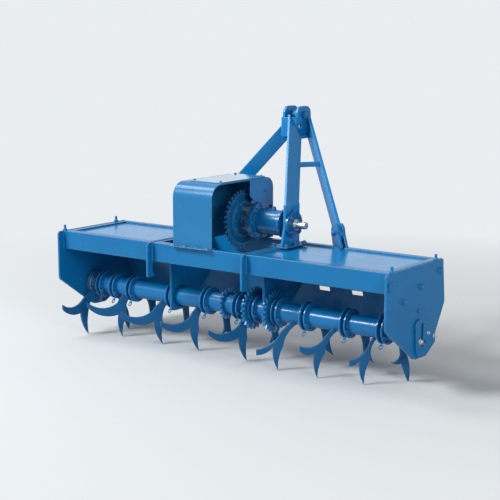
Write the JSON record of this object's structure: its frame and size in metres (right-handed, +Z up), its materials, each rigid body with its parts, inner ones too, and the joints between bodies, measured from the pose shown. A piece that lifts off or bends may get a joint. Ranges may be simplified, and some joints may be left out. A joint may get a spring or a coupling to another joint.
{
  "type": "rotary tiller",
  "caption": "Three-point rotary tiller: plate-ended deck, sheet guard over a toothed drive disc, A-frame mast and a cross rotor with hooked and sickle tines.",
  "frame": {"origin": "on the ground at the middle of the machine's width and of its depth from the end plates' near edge to the mast's far side", "axes": "+X across the machine towards the input stub's side, +Y towards the tractor, +Z up"},
  "size_m": [2.02, 0.8134, 1.224],
  "materials": {
    "blue_paint": "semi-gloss blue enamel",
    "tine_paint": "semi-gloss blue enamel on forged steel",
    "bare_steel": "machined",
    "plated_steel": "zinc plated"
  },
  "bodies": {
    "frame": {"end_plate_left": "blue_paint", "end_plate_right": "blue_paint", "hanger_left": "blue_paint", "hanger_right": "blue_paint", "near_beam": "blue_paint", "pan_left": "blue_paint", "deck_rails": "blue_paint", "pan_right": "blue_paint", "far_rail": "blue_paint", "hood": "blue_paint", "hood_left_wall": "blue_paint", "hood_cheek": "blue_paint", "hood_top_plate": "blue_paint", "mast_base_plate": "blue_paint", "mast_plate": "blue_paint", "shaft_housing": "blue_paint", "shaft_bearing_flange": "blue_paint", "clevis_plates": "blue_paint", "clevis_bridge": "blue_paint", "clevis_floor": "blue_paint", "clevis_spacer": "blue_paint", "clevis_bolt": "plated_steel", "mast_brace": "blue_paint", "strut_left": "blue_paint", "hitch_lugs": "blue_paint", "strut_right": "blue_paint", "mast_tie": "blue_paint", "hitch_pins": "plated_steel", "skid_plates": "blue_paint", "rotor_bearings": "blue_paint"},
    "rotor": {"rotor_tube": "blue_paint", "stub_axles": "plated_steel", "hook_tines_left": "tine_paint", "leg_tines_left": "tine_paint", "tine_collars_left": "blue_paint", "hook_tines_middle": "tine_paint", "leg_tines_middle": "tine_paint", "tine_collars_middle": "blue_paint", "hook_tines_right": "tine_paint", "leg_tines_right": "tine_paint", "tine_collars_right": "blue_paint", "rotor_sprocket": "blue_paint", "toothed_coupling": "blue_paint"},
    "input": {"input_shaft": "bare_steel", "drive_disc": "blue_paint"}
  },
  "joints": [
    {"name": "rotor_spin", "type": "hinge", "parent": "frame", "child": "rotor", "pos_m": [0, -0.155, 0.2631], "axis": [1, 0, 0], "continuous": true},
    {"name": "input_spin", "type": "hinge", "parent": "frame", "child": "input", "pos_m": [0, -0.04, 0.6761], "axis": [1, 0, 0], "continuous": true}
  ],
  "couplings": [
    {"joint": "input_spin", "follows": "rotor_spin", "ratio": 0.5}
  ]
}
